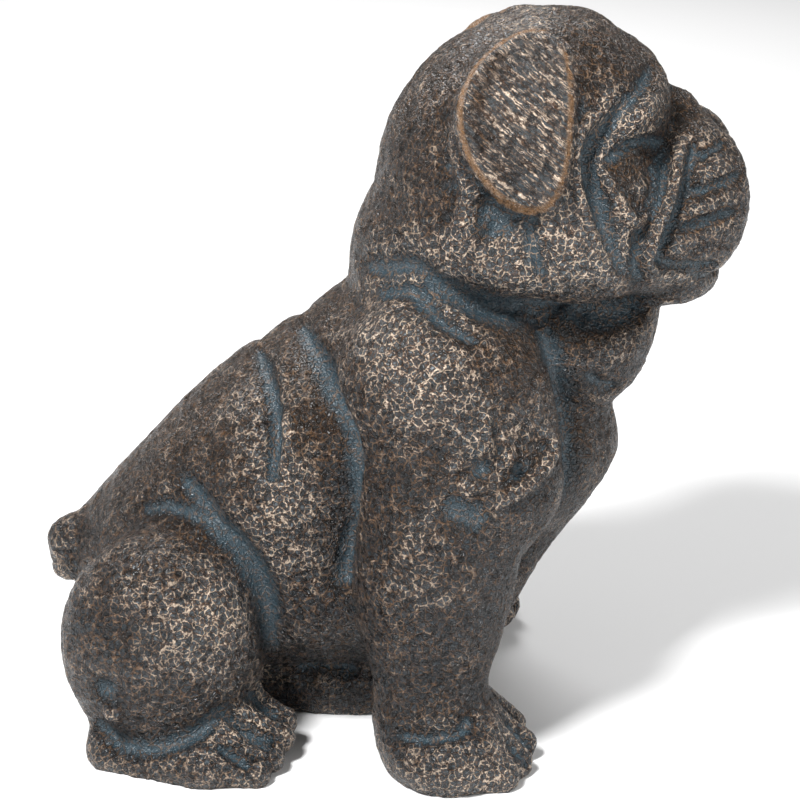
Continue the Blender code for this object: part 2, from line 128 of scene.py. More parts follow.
@dataclass(frozen=True)
class Lump:
    """A lump of ellipsoid form with turns in degrees about X, Y and Z; a paired one has a copy at -Y."""

    centre: Point
    radii: Point
    turn: Point = (0, 0, 0)
    pair: bool = False

    def distance(self, points: np.ndarray) -> np.ndarray:
        """Signed distance, n (n - 1) / |p / r^2| where n = |p / r|."""
        local = (points - np.array(self.centre, float)) @ turn_matrix(self.turn)
        radii = np.array(self.radii, float)
        near = np.linalg.norm(local / radii, axis=1)
        return near * (near - 1) / np.maximum(np.linalg.norm(local / radii**2, axis=1), 1e-9)

    def box(self) -> Pair:
        """Lower and upper corner of a box around the form."""
        reach = max(self.radii) if any(self.turn) else np.array(self.radii, float)
        return np.array(self.centre) - reach, np.array(self.centre) + reach

    def shells(self) -> list[Shell]:
        """The closed skin over latitude a and longitude b: radii times (sin a cos b, sin a sin b, cos a)."""
        rows, columns = 15, 28
        a = np.linspace(0, np.pi, rows + 2)[1:-1, None]
        b = np.linspace(0, 2 * np.pi, columns, endpoint=False)
        rings = np.stack([np.sin(a) * np.cos(b), np.sin(a) * np.sin(b), np.cos(a) + 0 * b], axis=2)
        rings = rings.reshape(-1, 3)
        unit = np.vstack([(0, 0, 1), rings, (0, 0, -1)])
        return [((unit * self.radii) @ turn_matrix(self.turn).T + self.centre, grid_faces(rows, columns))]


@dataclass(frozen=True)
class Limb:
    """A round bar with round ends, whose radius changes evenly; a paired one has a copy at -Y."""

    start: Point
    end: Point
    start_radius: float
    end_radius: float
    pair: bool = True

    def distance(self, points: np.ndarray) -> np.ndarray:
        """Signed distance: how far the point is from its nearest place on the axis, less the radius there."""
        start, end = np.array(self.start, float), np.array(self.end, float)
        axis = end - start
        share = np.clip((points - start) @ axis / (axis @ axis), 0, 1)
        radius = self.start_radius + (self.end_radius - self.start_radius) * share
        return np.linalg.norm(points - start - share[:, None] * axis, axis=1) - radius

    def box(self) -> Pair:
        """Lower and upper corner of a box around the form."""
        ends = np.array([self.start, self.end], float)
        radius = max(self.start_radius, self.end_radius)
        return ends.min(axis=0) - radius, ends.max(axis=0) + radius

    def shells(self) -> list[Shell]:
        """The closed skin: a half-round, straight, half-round profile carried round the axis."""
        start, end = np.array(self.start, float), np.array(self.end, float)
        length = np.linalg.norm(end - start)
        along = (end - start) / length
        across = np.cross(along, (0.3, 0.9, 0.2) if abs(along[1]) < 0.8 else (1, 0, 0))
        across /= np.linalg.norm(across)
        beside = np.cross(along, across)
        columns = 20
        a = np.linspace(0, np.pi / 2, 7)[1:]
        reach = np.concatenate([-self.start_radius * np.cos(a), length + self.end_radius * np.cos(a[::-1])])
        radius = np.concatenate([self.start_radius * np.sin(a), self.end_radius * np.sin(a[::-1])])
        b = np.linspace(0, 2 * np.pi, columns, endpoint=False)[:, None]
        round_axis = np.cos(b) * across + np.sin(b) * beside
        rings = start + reach[:, None, None] * along + radius[:, None, None] * round_axis
        tips = start - self.start_radius * along, end + self.end_radius * along
        return [(np.vstack([tips[0], rings.reshape(-1, 3), tips[1]]), grid_faces(len(a) * 2, columns))]


@dataclass(frozen=True)
class Drape:
    """An oval flap with a thick rim that lies on an ellipsoid, its oval drawn from the side and above."""

    middle: Spot
    half_width: float
    half_length: float
    lean: float
    curl: float
    shell_centre: Point
    shell_radii: Point
    thickness: float
    rim: float
    depth: float = 24.0
    pair: bool = True

    def outline(self, points: np.ndarray) -> np.ndarray:
        """Signed distance from the oval's edge, in a view that looks down by LOOK_DOWN."""
        along = points[:, 2] * math.cos(LOOK_DOWN) - points[:, 1] * math.sin(LOOK_DOWN) - self.middle[1]
        across, along = lean_by(points[:, 0] - self.middle[0], along, self.lean)
        across = across - self.curl * (along / self.half_length) ** 2
        flat = np.stack([across, along, np.zeros_like(along)], axis=1)
        return Lump((0, 0, 0), (self.half_width, self.half_length, self.half_length)).distance(flat)

    def distance(self, points: np.ndarray) -> np.ndarray:
        """Signed distance: the oval carried in through the ellipsoid, with a round, swollen edge outside."""
        half = self.thickness / 2
        inset = self.outline(points) + half
        shell = Lump(self.shell_centre, self.shell_radii).distance(points)
        out = np.maximum(shell - self.rim * np.exp(-((inset / half) ** 2)), -shell - self.depth)
        corner = np.hypot(np.maximum(inset, 0), np.maximum(out, 0))
        flap = np.minimum(np.maximum(inset, out), 0) + corner - half
        return np.where(points[:, 1] < 0, REACH, flap)

    def box(self) -> Pair:
        """Lower and upper corner of a box around the form."""
        x, z, reach = self.middle[0], self.shell_centre[2], self.half_length
        side = self.shell_radii[1] + self.thickness
        return np.array((x - reach, 0, z - reach)), np.array((x + reach, side, z + side))

    def shells(self) -> list[Shell]:
        """The closed flap over ring r and angle b: both faces of the oval, dropped on to the ellipsoid."""
        columns, half = 40, self.thickness / 2
        ring = np.concatenate([np.linspace(0, 1, 9)[1:], np.linspace(1, 0, 9)[:-1]])[:, None]
        lift = np.concatenate([np.full(8, half), np.full(8, -self.depth / 2)])[:, None]
        b = np.linspace(0, 2 * np.pi, columns, endpoint=False)
        along = (self.half_length - half) * ring * np.sin(b)
        across = (self.half_width - half) * ring * np.cos(b) + self.curl * (along / self.half_length) ** 2
        across, along = np.append(across, (0, 0)), np.append(along, (0, 0))
        lift = np.append((lift + 0 * b).ravel(), (half, -self.depth / 2))
        across, along = lean_by(across, along, -self.lean)
        height = (self.middle[1] + along) / math.cos(LOOK_DOWN)
        points = np.stack([self.middle[0] + across, np.full_like(height, 60.0), height], axis=1)
        shell = Lump(self.shell_centre, self.shell_radii)
        for _ in range(30):
            points[:, 1] -= np.clip(0.7 * (shell.distance(points) - lift), -8, 8)
            points[:, 1] = np.clip(points[:, 1], 1, self.shell_radii[1] + half)
            points[:, 2] = height + points[:, 1] * math.tan(LOOK_DOWN)
        rings = points[:-2]
        return [(np.vstack([points[-2], rings, points[-1]]), grid_faces(16, columns))]


@dataclass(frozen=True)
class Fold:
    """A ridge or groove of a height and width in millimetres, along a curve on the skin."""

    sense: Sense
    height: float
    width: float
    path: tuple[Spot, ...]
    side: Side = Side.FLANK
    fade: tuple[bool, bool] = (True, True)

    def curve(self, spacing: float = 0.9) -> np.ndarray:
        """Points along a Catmull-Rom curve through the path, spaced by a share of the width."""
        path = np.array(self.path, float)
        if len(path) == 1:
            return path
        length = np.linalg.norm(np.diff(path, axis=0), axis=1).sum()
        ends = np.vstack([2 * path[0] - path[1], path, 2 * path[-1] - path[-2]])
        spans = np.linspace(0, len(path) - 1, 1 + int(length / (spacing * self.width)))
        k = np.minimum(spans.astype(int), len(path) - 2)
        t = (spans - k)[:, None]
        a, b, c, d = ends[k], ends[k + 1], ends[k + 2], ends[k + 3]
        bend, twist = 2 * a - 5 * b + 4 * c - d, 3 * b - a - 3 * c + d
        return 0.5 * (2 * b + (c - a) * t + bend * t**2 + twist * t**3)

    def shares(self, count: int) -> np.ndarray:
        """Share of the full height at each of count points: it falls off over the first and last quarter."""
        share = np.linspace(0, 1, count)
        height = np.ones(count)
        for fades, way in zip(self.fade, (share, 1 - share)):
            if fades and count > 1:
                height *= np.sqrt(np.clip(way / FADE_SHARE, 0.02, 1))
        return height


# Rubbed places are partly real dry-brushed wear and partly painted highlight where the masses catch the
# light.
@dataclass(frozen=True)
class RubAndHighlight:
    """A soft round place, in the flank view, where paint is rubbed through and a highlight is painted on (or
    paint laid on, below zero).
    """

    place: Spot
    size: Spot
    strength: float = 1.0
    lean: float = 0.0

    def share(self, points: np.ndarray) -> np.ndarray:
        """Strength times exp(-(x / a)^2 - (z / b)^2), about the place and turned by the lean."""
        along, across = lean_by(points[:, 0] - self.place[0], points[:, 2] - self.place[1], self.lean)
        return self.strength * np.exp(-((along / self.size[0]) ** 2) - (across / self.size[1]) ** 2)


def inside(points: np.ndarray, low: np.ndarray, high: np.ndarray) -> np.ndarray:
    """Numbers of the points that lie in a box."""
    return np.flatnonzero(((points > low) & (points < high)).all(axis=1))


@dataclass(frozen=True)
class BodyPart:
    """A part of the figure: forms melted together over a blend width, with its folds and its rubbed places
    with painted highlights.
    """

    forms: tuple = ()
    blend: float = 8.0
    folds: tuple[Fold, ...] = ()
    # rubbed places: real dry-brushed wear, and painted highlight where the masses catch the light
    rubs_and_highlights: tuple[RubAndHighlight, ...] = ()

    def distance(self, points: np.ndarray) -> np.ndarray:
        """Signed distance to the melted forms: -w ln(sum of exp(-d / w))."""
        total = np.full(len(points), math.exp(-REACH / self.blend))
        for form in self.forms:
            low, high = form.box()
            for side in (1, -1) if form.pair else (1,):
                turned = points * (1, side, 1)
                near = inside(turned, low - REACH, high + REACH)
                total[near] += np.exp(form.distance(turned[near]) / -self.blend)
        return -self.blend * np.log(total)

    def build(self) -> list[Shell]:
        """Closed skins of all forms, on both sides."""
        made = []
        for form in self.forms:
            for points, faces in form.shells():
                made.append((points, faces))
                if form.pair:
                    made.append((points * (1, -1, 1), [face[::-1] for face in faces]))
        return made

    def dress(self, points: np.ndarray) -> np.ndarray:
        """How much paint is rubbed through, with painted highlight, at points, from this part's rubbed
        places.
        """
        return sum((rub.share(points) for rub in self.rubs_and_highlights), np.zeros(len(points)))


@dataclass(frozen=True)
class Trunk(BodyPart):
    """Rump, belly, ribs and chest."""

    forms: tuple = (
        Lump((-116, 0, 80), (68, 70, 66)),
        Lump((-65, 0, 136), (114, 82, 69), (0, -44, 0)),
        Lump((10, 0, 178), (72, 88, 78)),
        Lump((58, 0, 160), (53, 76, 52)),
        Lump((-38, 0, 88), (84, 80, 58)),
        Lump((-38, 0, 16), (72, 40, 40)),
        Limb((71, 0, 130), (1, 0, -4), 29, 30, False),
    )
    blend: float = 10.0
    folds: tuple[Fold, ...] = (
        Fold(GROOVE, 10.5, 4.5, ((-79, 213), (-73, 206), (-67, 189), (-67, 172), (-70, 160))),
        Fold(RIDGE, 4.88, 4, ((-63, 195), (-61, 181), (-65, 164))),
        Fold(GROOVE, 13, 6, ((-55, 229), (-45, 220), (-36, 204), (-28, 188), (-25, 165))),
        Fold(GROOVE, 7, 5, ((-28, 188), (-26, 159), (-29, 127), (-31, 107)), fade=(True, False)),
        Fold(GROOVE, 6.5, 5, ((-61, 30), (-45, 32), (-31, 30), (-22, 27))),
    )
    rubs_and_highlights: tuple[RubAndHighlight, ...] = (
        RubAndHighlight((-66, 157), (15, 38), 0.62),
        RubAndHighlight((-48, 134), (13, 35), 0.3),
        RubAndHighlight((-92, 185), (25, 22), 0.3),
    )


@dataclass(frozen=True)
class Neck(BodyPart):
    """Neck, throat and dewlap."""

    forms: tuple = (
        Lump((28, 0, 262), (55, 74, 60)),
        Lump((84, 0, 226), (47, 62, 32)),
        Lump((92, 0, 206), (38, 44, 22)),
        Lump((82, 0, 157), (40, 48, 32)),
        Lump((112, 0, 232), (26, 36, 18)),
    )
    blend: float = 9.0
    folds: tuple[Fold, ...] = (
        Fold(
            GROOVE, 16.9, 7,
            ((-20, 268), (2, 275), (19, 267), (36, 261), (62, 253), (92, 247), (121, 243), (136, 243)),
        ),
        Fold(GROOVE, 8.45, 4.5, ((-13, 259), (2, 265), (12, 261), (24, 254), (42, 244))),
        Fold(RIDGE, 4.88, 5, ((-8, 267), (6, 271), (21, 262), (39, 252))),
    )
    rubs_and_highlights: tuple[RubAndHighlight, ...] = (
        RubAndHighlight((-10, 246), (20, 30), 0.5),
        RubAndHighlight((5, 286), (20, 30), 0.2),
    )


@dataclass(frozen=True)
class Forelegs(BodyPart):
    """Shoulders, legs and forepaws."""

    forms: tuple = (
        Lump((24, 60, 203), (60, 50, 60), pair=True),
        Lump((32, 74, 158), (54, 42, 40), pair=True),
        Lump((19, 84, 112), (40, 33, 64), pair=True),
        Limb((17, 86, 110), (15, 90, 30), 33, 27),
        Lump((26, 96, 12), (34, 40, 26), pair=True),
    )
    blend: float = 8.0
    folds: tuple[Fold, ...] = (
        Fold(GROOVE, 8.45, 8, ((78, 244), (84, 224), (92, 190), (94, 168), (90, 141))),
        Fold(GROOVE, 6.76, 3.5, ((100, 214), (109, 203), (119, 199))),
        Fold(RIDGE, 5.62, 3, ((43, 213), (44, 200), (44, 187))),
        Fold(RIDGE, 6.5, 4, ((74, 199), (79, 182), (70, 173), (62, 169), (51, 163))),
        Fold(RIDGE, 4.88, 4, ((36, 173),)),
        Fold(RIDGE, 4.88, 3.5, ((28, 185),)),
        Fold(GROOVE, 6.76, 5, ((42, 182),)),
        Fold(GROOVE, 5.07, 4, ((58, 176), (66, 177))),
        Fold(RIDGE, 4.88, 3.5, ((52, 184), (56, 185), (58, 191))),
        Fold(GROOVE, 6.76, 8, ((21, 166), (34, 158), (48, 154))),
        Fold(GROOVE, 6.76, 4, ((-3, 29), (21, 33), (34, 35), (38, 40))),
        Fold(GROOVE, 6, 3, ((113, 4), (112, 12), (110, 24)), Side.FRONT),
        Fold(GROOVE, 6, 3, ((98, 4), (97, 14), (96, 29)), Side.FRONT),
        Fold(GROOVE, 6, 3, ((81, 5), (81, 16), (82, 32)), Side.FRONT),
    )
    rubs_and_highlights: tuple[RubAndHighlight, ...] = (
        RubAndHighlight((15, 226), (28, 28), 0.7),
        RubAndHighlight((40, 192), (13, 20), 0.75),
        RubAndHighlight((68, 196), (17, 17), 0.5),
        RubAndHighlight((10, 129), (20, 30), 0.3),
        RubAndHighlight((38, 10), (30, 15), 0.5),
    )


@dataclass(frozen=True)
class Haunches(BodyPart):
    """Thighs and hind paws."""

    forms: tuple = (
        Lump((-130, 74, 64), (56, 42, 64), pair=True),
        Limb((-157, 91, 7), (-108, 104, 7), 15.5, 20),
    )
    blend: float = 5.0
    folds: tuple[Fold, ...] = (
        Fold(
            GROOVE, 14.8, 6,
            ((-121, 155), (-108, 145), (-100, 135), (-87, 124), (-77, 108), (-71, 86), (-69, 56)),
        ),
        Fold(GROOVE, 6.76, 4, ((-143, 133), (-127, 139), (-113, 138), (-102, 135))),
        Fold(GROOVE, 6.76, 10, ((-150, 89), (-140, 86))),
        Fold(GROOVE, 8.45, 6, ((-159, 52),)),
        Fold(RIDGE, 6.5, 4, ((-155, 38),)),
        Fold(GROOVE, 8.45, 5, ((-168, 28), (-156, 19), (-141, 17), (-124, 22), (-105, 31), (-91, 40))),
        Fold(GROOVE, 6.5, 3, ((-83, 42), (-76, 32), (-66, 24))),
        Fold(GROOVE, 6.5, 3, ((-93, 33), (-82, 23), (-68, 15))),
        Fold(GROOVE, 5.2, 3, ((-99, 23), (-88, 16), (-79, 11))),
    )
    rubs_and_highlights: tuple[RubAndHighlight, ...] = (
        RubAndHighlight((-94, 91), (15, 24), 0.8),
        RubAndHighlight((-117, 82), (25, 30), 0.45),
        RubAndHighlight((-89, 29), (25, 11), 0.5, -15),
        RubAndHighlight((-132, 112), (30, 20), 0.25),
    )


@dataclass(frozen=True)
class Head(BodyPart):
    """Skull, brow, cheeks and jowls."""

    forms: tuple = (
        Lump((64, 0, 331), (75, 75, 59), (0, -28, 0)),
        Lump((40, 0, 300), (47, 71, 55)),
        Lump((44, 0, 358), (30, 36, 22), (0, -30, 0)),
        Lump((110, 32, 351), (27, 27, 24), pair=True),
        Lump((97, 0, 379), (12, 30, 16)),
        Lump((76, 0, 375), (13, 30, 18.5)),
        Lump((119, 0, 362), (20, 40, 15)),
        Lump((80, 50, 302), (50, 35, 44), pair=True),
        Lump((48, 42, 280), (46, 40, 34), pair=True),
        Lump((96, 40, 282), (44, 38, 32), pair=True),
    )
    blend: float = 7.0
    folds: tuple[Fold, ...] = (
        Fold(
            GROOVE, 12.7, 5.5,
            ((131, 376), (123, 366), (108, 353), (99, 342), (97, 333), (100, 318), (107, 297), (118, 272)),
        ),
        Fold(RIDGE, 4, 4, ((111, 366), (102, 356), (93, 350), (90, 341), (93, 324), (99, 306), (109, 283))),
        Fold(RIDGE, 6.5, 8, ((131, 367), (122, 359), (113, 348))),
        Fold(GROOVE, 7.67, 3.5, ((105, 333), (114, 338), (124, 340), (139, 337))),
        Fold(
            RIDGE, 4, 3,
            ((104, 331), (109, 321), (115, 311), (123, 302), (130, 306), (135, 316), (137, 328)),
        ),
        Fold(GROOVE, 4.5, 13, ((123, 323),)),
        Fold(RIDGE, 3.6, 9, ((124, 321),)),
        Fold(GROOVE, 5, 3, ((0, 330), (0, 310), (0, 285), (0, 268)), Side.FRONT),
        Fold(GROOVE, 4, 3, ((0, 268), (18, 262), (38, 262), (50, 268)), Side.FRONT),
        Fold(GROOVE, 4, 3.5, ((7, 340), (10, 334)), Side.FRONT),
        Fold(GROOVE, 4, 5, ((0, 376), (1, 362)), Side.FRONT),
    )
    rubs_and_highlights: tuple[RubAndHighlight, ...] = (
        RubAndHighlight((61, 288), (42, 22), 0.75),
        RubAndHighlight((101, 350), (7, 22), 0.8),
        RubAndHighlight((114, 352), (12, 9), 0.75, -40),
        RubAndHighlight((115, 295), (11, 20), 0.4),
        RubAndHighlight((82, 294), (20, 20), 0.5),
    )


@dataclass(frozen=True)
class Muzzle(BodyPart):
    """Upper lips, nose pad and chin."""

    forms: tuple = (
        Lump((150, 24, 300), (30, 28, 40), (12, 0, 0), pair=True),
        Lump((159, 22, 303), (26, 26, 38), (12, 0, 0), pair=True),
        Lump((144, 0, 326), (26, 26, 12)),
        Lump((148, 0, 346), (11, 14, 10)),
        Lump((147, 0, 257), (28, 38, 17)),
        Lump((128, 32, 290), (32, 34, 38), pair=True),
    )
    blend: float = 5.0
    folds: tuple[Fold, ...] = (
        Fold(GROOVE, 8.45, 4, ((139, 333), (137, 317), (130, 302), (124, 290), (124, 266))),
        Fold(
            RIDGE, 8.12, 4.2,
            ((150, 337), (146, 328), (141, 314), (135, 303), (129, 292), (128, 282), (134, 272)),
        ),
        Fold(GROOVE, 6.76, 3.5, ((155, 337), (151, 330), (146, 312), (140, 294), (134, 283))),
        Fold(GROOVE, 5.07, 3, ((155, 329), (163, 333), (173, 336))),
        Fold(GROOVE, 5.85, 3, ((151, 312), (164, 316), (181, 319))),
        Fold(GROOVE, 5.85, 3, ((145, 295), (161, 298), (178, 302))),
        Fold(GROOVE, 6.76, 3, ((133, 282), (143, 275), (158, 271), (170, 270)), fade=(False, True)),
    )
    rubs_and_highlights: tuple[RubAndHighlight, ...] = (
        RubAndHighlight((143, 314), (4, 28), 0.75),
        RubAndHighlight((163, 331), (11, 12), 0.35),
        RubAndHighlight((161, 301), (13, 15), 0.3),
        RubAndHighlight((158, 266), (25, 7), 0.5),
    )


@dataclass(frozen=True)
class Ears(BodyPart):
    """Hanging ears."""

    forms: tuple = (Drape((58, 312), 30, 50, -3, 12, (60, 0, 314), (110, 90, 82), 9, 1.5),)
    blend: float = 3.0
    folds: tuple[Fold, ...] = (
        Fold(GROOVE, 8.45, 3.5, ((68, 315), (66, 301), (68, 290), (74, 274))),
        Fold(RIDGE, 4.88, 5, ((26, 349), (32, 332), (36, 320), (32, 305), (28, 291))),
        Fold(GROOVE, 8.45, 10, ((44, 321), (50, 308), (58, 297))),
        Fold(GROOVE, 5.07, 3.5, ((27, 359), (32, 374), (43, 386), (58, 394))),
    )
    rubs_and_highlights: tuple[RubAndHighlight, ...] = (
        RubAndHighlight((67, 372), (17, 30), 0.8),
        RubAndHighlight((50, 354), (30, 45), 0.35),
        RubAndHighlight((80, 329), (17, 18), 0.5),
    )


@dataclass(frozen=True)
class Tail(BodyPart):
    """The short curled tail."""

    forms: tuple = (
        Limb((-168, 0, 105), (-182, 0, 99), 13, 10.01, False),
        Limb((-192, 0, 94), (-192, 0, 78), 10.53, 8.97, False),
    )
    blend: float = 4.0


@dataclass(frozen=True)
class FrontToes(BodyPart):
    """Toes of the forepaws."""

    forms: tuple = (
        Limb((36, 116, 14), (55, 119, 5), 11.5, 9.5),
        Limb((42, 103, 17), (63, 106, 7), 11.5, 9.5),
        Limb((45, 88, 21), (66, 89, 9), 11.5, 9.5),
        Limb((42, 73, 24), (61, 73, 12), 11.5, 9.5),
    )
    blend: float = 1.5
    rubs_and_highlights: tuple[RubAndHighlight, ...] = (RubAndHighlight((60, 23), (15, 15), 0.35),)


@dataclass(frozen=True)
class HindToes(BodyPart):
    """Toes of the hind paws."""

    forms: tuple = (
        Limb((-104, 114, 10), (-78, 116, 4), 9, 8),
        Limb((-100, 103, 21), (-71, 104, 8), 9, 8),
        Limb((-94, 91, 28), (-66, 91, 13), 9, 8),
        Limb((-90, 78, 32), (-65, 78, 17), 9, 8),
    )
    blend: float = 1.5
    rubs_and_highlights: tuple[RubAndHighlight, ...] = (RubAndHighlight((-75, 32), (13, 15), 0.4),)


def in_parts(work: Field, points: np.ndarray, size: int = 12000) -> np.ndarray:
    """Runs a whole-array function on stretches of the points, side by side, and joins what it returns."""
    stretches = np.array_split(points, 1 + len(points) // size)
    with ThreadPoolExecutor(4) as pool:
        return np.concatenate(list(pool.map(work, stretches)))


def nearest_on_curve(
    points: np.ndarray, centres: np.ndarray, normals: np.ndarray, shares: np.ndarray
) -> Pair:
    """Squared distance to a curve on the skin, with most of the rise off the skin left out.

    Each straight run from a to b is met at a + t (b - a), where t = (p - a).(b - a) / |b - a|^2 is kept
    within 0 and 1, and the nearest run counts.

    Args:
        points: Places in millimetres.
        centres: Points on the curve.
        normals: The outward direction at each centre.
        shares: A number at each centre.

    Returns:
        The squared distance and the number there, for each point.
    """
    if len(centres) == 1:
        centres, normals, shares = (np.repeat(row, 2, axis=0) for row in (centres, normals, shares))
    run, outward, start = np.diff(centres, axis=0), (normals[:-1] + normals[1:]) / 2, centres[:-1]
    size = np.maximum((run**2).sum(axis=1), 1e-6)
    ahead = points @ run.T - (start * run).sum(axis=1)
    share = np.clip(ahead / size, 0, 1)
    gap = (points**2).sum(axis=1)[:, None] + (start**2).sum(axis=1) - 2 * points @ start.T
    gap += share * (share * size - 2 * ahead)
    rise = points @ outward.T - (start * outward).sum(axis=1) - share * (run * outward).sum(axis=1)
    gap -= LIFT_SHARE * rise**2
    piece, row = gap.argmin(axis=1), np.arange(len(points))
    number = shares[piece] + share[row, piece] * (shares[piece + 1] - shares[piece])
    return np.maximum(gap[row, piece], 0), number


def linked(name: str, data: bpy.types.ID) -> bpy.types.Object:
    """A new object with that data, in the scene."""
    made = bpy.data.objects.new(name, data)
    bpy.context.scene.collection.objects.link(made)
    return made


def rows_of(items: bpy.types.bpy_prop_collection, name: str, width: int, kind: type) -> np.ndarray:
    """One value of every vertex or edge, as rows of width numbers."""
    rows = np.empty(len(items) * width, kind)
    items.foreach_get(name, rows)
    return rows.reshape(-1, width)


def set_points(mesh: bpy.types.Mesh, points: np.ndarray) -> None:
    """Puts new places into a mesh's vertices."""
    mesh.vertices.foreach_set("co", points.astype(np.float32).ravel())
    mesh.update()


def bake(piece: bpy.types.Object) -> None:
    """Turns what the piece's modifiers show into its mesh, and takes them off."""
    graph = bpy.context.evaluated_depsgraph_get()
    piece.data = bpy.data.meshes.new_from_object(piece.evaluated_get(graph))
    piece.modifiers.clear()


def to_left(points: np.ndarray) -> np.ndarray:
    """The points with those on the right mirrored to the left."""
    return points * (1, 0, 1) + np.abs(points) * (0, 1, 0)


def spread(points_or_values: np.ndarray, edges: np.ndarray, rounds: int) -> np.ndarray:
    """Averages each point with its neighbours, round after round: v <- (v + mean of neighbours) / 2.

    Args:
        points_or_values: One row or number for each vertex.
        edges: Pairs of vertex numbers.
        rounds: How often to average.

    Returns:
        The averaged rows or numbers.
    """
    a, b = edges.T
    ends, others = np.concatenate([a, b]), np.concatenate([b, a])
    size = len(points_or_values)
    count = np.bincount(ends, minlength=size)
    rows = np.atleast_2d(points_or_values.T)
    for _ in range(rounds):
        rows = np.stack([0.5 * row + 0.5 * np.bincount(ends, row[others], size) / count for row in rows])
    return rows.T.reshape(points_or_values.shape)


def lattice_noise(points: np.ndarray, size: float) -> np.ndarray:
    """Smooth random values that change over a given length.

    Args:
        points: Positions, one row each, in millimetres.
        size: Spacing of the lattice of random values, in millimetres.

    Returns:
        A value from 0 to 1 for each point.
    """
    spot = points / size
    cell = np.floor(spot).astype(np.int64)
    share = spot - cell
    share = share * share * (3 - 2 * share)
    total = np.zeros(len(points))
    for corner in np.ndindex(2, 2, 2):
        mixed = (cell + corner) @ LATTICE_PRIMES & LATTICE_MASK
        mixed = (mixed ^ (mixed >> 13)) * LATTICE_PRIMES[0] & LATTICE_MASK
        weight = np.where(np.array(corner) == 1, share, 1 - share).prod(axis=1)
        total += weight * ((mixed ^ (mixed >> 16)) & LATTICE_TOP) / LATTICE_TOP
    return total


@dataclass(frozen=True)
class Patina:
    """Where the skin's form gathers or loses paint, in design millimetres and shares of the full paint.

    near and wide are rounds of averaging, on a skin of skin_step, that find small and large swellings.
    """

    skin_step: float = 2.15
    near: float = 10.0
    wide: float = 70.0
    groove_width: float = 0.8
    groove_share: float = 0.85
    ridge_height: float = 4.0
    ridge_share: float = 0.5
    dip_depth: float = 0.55
    dip_share: float = 0.6
    sag_depth: float = 3.0
    sag_share: float = 0.5
    edge_height: float = 0.5
    edge_wear: float = 0.35
    swell_height: float = 2.5
    swell_wear: float = 0.12
    hollow_cover: float = 0.7
    ear_reach: float = 1.5
    rim_inset: float = 2.0
    rim_width: float = 3.0
    up_gain: float = 1.4
    up_middle: float = 0.25
    warm_from: float = 60.0
    warm_over: float = 120.0


